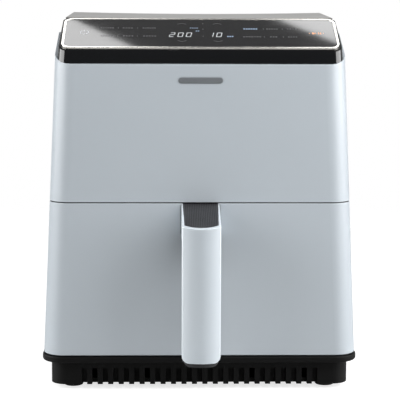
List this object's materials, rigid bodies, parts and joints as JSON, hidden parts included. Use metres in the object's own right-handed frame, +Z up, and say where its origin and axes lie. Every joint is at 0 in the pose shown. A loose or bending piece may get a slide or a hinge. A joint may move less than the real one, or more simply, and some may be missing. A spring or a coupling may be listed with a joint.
{
  "type": "basket air fryer",
  "caption": "Counter-top basket air fryer: tapered rounded housing, sloping dark glass control panel, pull-out drawer with upright bar handle, finned base.",
  "frame": {"origin": "on the table under the centre of the outline, handle included", "axes": "+Z up; the drawer and the handle face -Y; +X to the right of someone facing the front"},
  "size_m": [0.2862, 0.372, 0.3399],
  "materials": {
    "shell_paint": "satin pale blue-grey housing",
    "dark_plastic": "dark grey moulded plastic",
    "soft_black": "black rubber",
    "gloss_black": "gloss black band",
    "top_satin": "satin warm grey top",
    "ring_metal": "bright metal trim",
    "panel_glass": "dark glass control panel",
    "panel_light": "lit figures behind the glass",
    "circuit_board": "circuit board",
    "spring_steel": "plated steel",
    "base_plastic": "black base plastic",
    "coated_steel": "dark non-stick coating",
    "liner_steel": "sheet steel",
    "heater_steel": "heat-stained heater tube",
    "fan_aluminium": "stamped aluminium",
    "insulation": "heat-resistant fibre sheet",
    "motor_steel": "motor can",
    "switch_red": "switch plunger"
  },
  "bodies": {
    "housing": {"upper_shell": "shell_paint", "rear_cover": "dark_plastic", "cord_inlet": "soft_black", "cavity_fascia": "dark_plastic", "top_band": "gloss_black", "top_plate": "top_satin", "panel_ring": "ring_metal", "control_glass": "panel_glass", "display_module": "panel_light", "display_board": "circuit_board", "touch_springs": "spring_steel", "buzzer": "dark_plastic", "badge": "ring_metal", "base_ring": "base_plastic", "bottom_plate": "base_plastic", "foot_front_left": "soft_black", "foot_front_right": "soft_black", "foot_rear_left": "soft_black", "foot_rear_right": "soft_black", "cavity_liner": "liner_steel", "rail_left": "liner_steel", "rail_right": "liner_steel", "upper_heater": "heater_steel", "lower_heater": "heater_steel", "lower_reflector": "fan_aluminium", "heater_guard": "liner_steel", "heat_shield": "insulation", "motor": "motor_steel", "motor_bracket": "liner_steel", "motor_screws": "spring_steel", "power_board": "circuit_board", "temperature_sensor": "liner_steel", "thermal_cutout": "dark_plastic", "drawer_switch": "dark_plastic", "base_screws": "spring_steel", "rear_screws": "spring_steel"},
    "drawer": {"drawer_front": "shell_paint", "drawer_back_plate": "dark_plastic", "basket": "coated_steel", "handle_shell": "shell_paint", "handle_liner": "dark_plastic", "handle_insert": "dark_plastic", "handle_screws": "spring_steel", "basket_screws": "spring_steel"},
    "tray": {"crisper_tray": "coated_steel", "tray_bumper_front_left": "soft_black", "tray_bumper_front_right": "soft_black", "tray_bumper_rear_left": "soft_black", "tray_bumper_rear_right": "soft_black"},
    "rotor": {"hot_air_fan": "fan_aluminium", "cooling_fan": "dark_plastic", "motor_shaft": "liner_steel"},
    "plunger": {"switch_plunger": "switch_red"}
  },
  "joints": [
    {"name": "drawer_slide", "type": "slide", "parent": "housing", "child": "drawer", "axis": [0, -1, 0], "range_m": [0, 0.27]},
    {"name": "tray_lift", "type": "slide", "parent": "drawer", "child": "tray", "axis": [0, 0, 1], "range_m": [0, 0.08]},
    {"name": "fan_spin", "type": "hinge", "parent": "housing", "child": "rotor", "pos_m": [0, 0.024, 0.19], "axis": [0, 0, 1], "continuous": true},
    {"name": "switch_travel", "type": "slide", "parent": "housing", "child": "plunger", "axis": [0, -1, 0], "range_m": [0, 0.003]}
  ],
  "couplings": [
    {"joint": "switch_travel", "follows": "drawer_slide", "ratio": 0.011}
  ]
}
